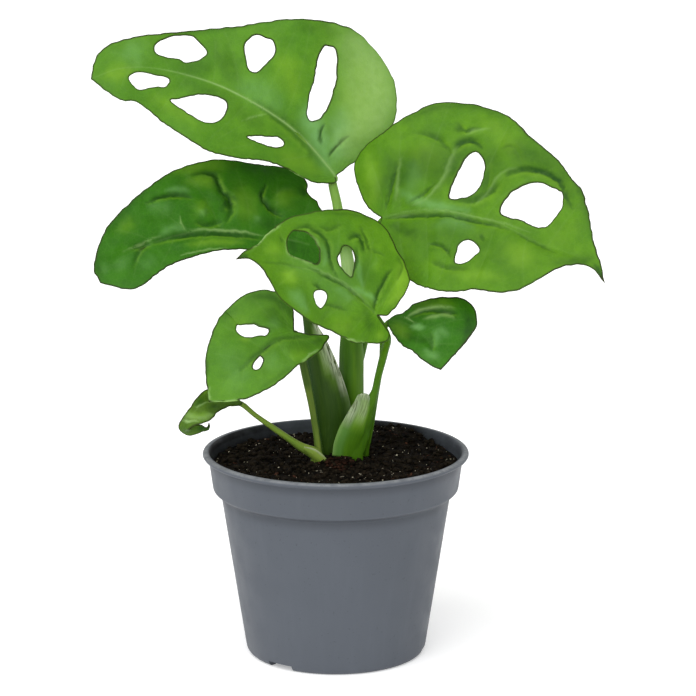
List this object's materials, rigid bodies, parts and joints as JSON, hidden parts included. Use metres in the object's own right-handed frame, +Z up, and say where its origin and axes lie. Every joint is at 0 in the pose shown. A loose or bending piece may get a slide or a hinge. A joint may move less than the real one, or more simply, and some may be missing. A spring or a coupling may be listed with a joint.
{
  "type": "potted swiss cheese vine",
  "caption": "Young swiss cheese vine with cut leaves on sheathed stalks, growing in soil in a round plastic nursery pot.",
  "frame": {"origin": "centre of the pot's underside, on the surface that the pot stands on", "axes": "+Z up; -Y towards the side seen first; +X to the right from there"},
  "size_m": [0.2248, 0.12, 0.2828],
  "materials": {
    "pot": "slightly bluish grey plastic, matte with a faint satin sheen",
    "soil": "dark moist potting soil with white perlite and brown bits",
    "leaf_top": "smooth green blade with a pale midrib, thin pale edge and olive stalk",
    "leaf_right": "puffed glossy green blade with sunken veins and a brown tip",
    "leaf_centre": "puffed glossy green blade with sunken veins and a papery stalk sheath",
    "leaf_left": "puffed glossy deep green blade with a bluish sheen and a papery stalk sheath",
    "leaf_lower_left": "smooth green blade with a faint midrib and a light stalk",
    "leaf_small_right": "glossy deep green blade with a sunken midrib and a brown tip",
    "leaf_curled": "dull olive green blade with a brown curled tip and a light stalk"
  },
  "bodies": {
    "root": {"pot": "pot", "soil": "soil", "leaf_top": "leaf_top", "leaf_right": "leaf_right", "leaf_centre": "leaf_centre", "leaf_left": "leaf_left", "leaf_lower_left": "leaf_lower_left", "leaf_small_right": "leaf_small_right", "leaf_curled": "leaf_curled"}
  },
  "joints": []
}
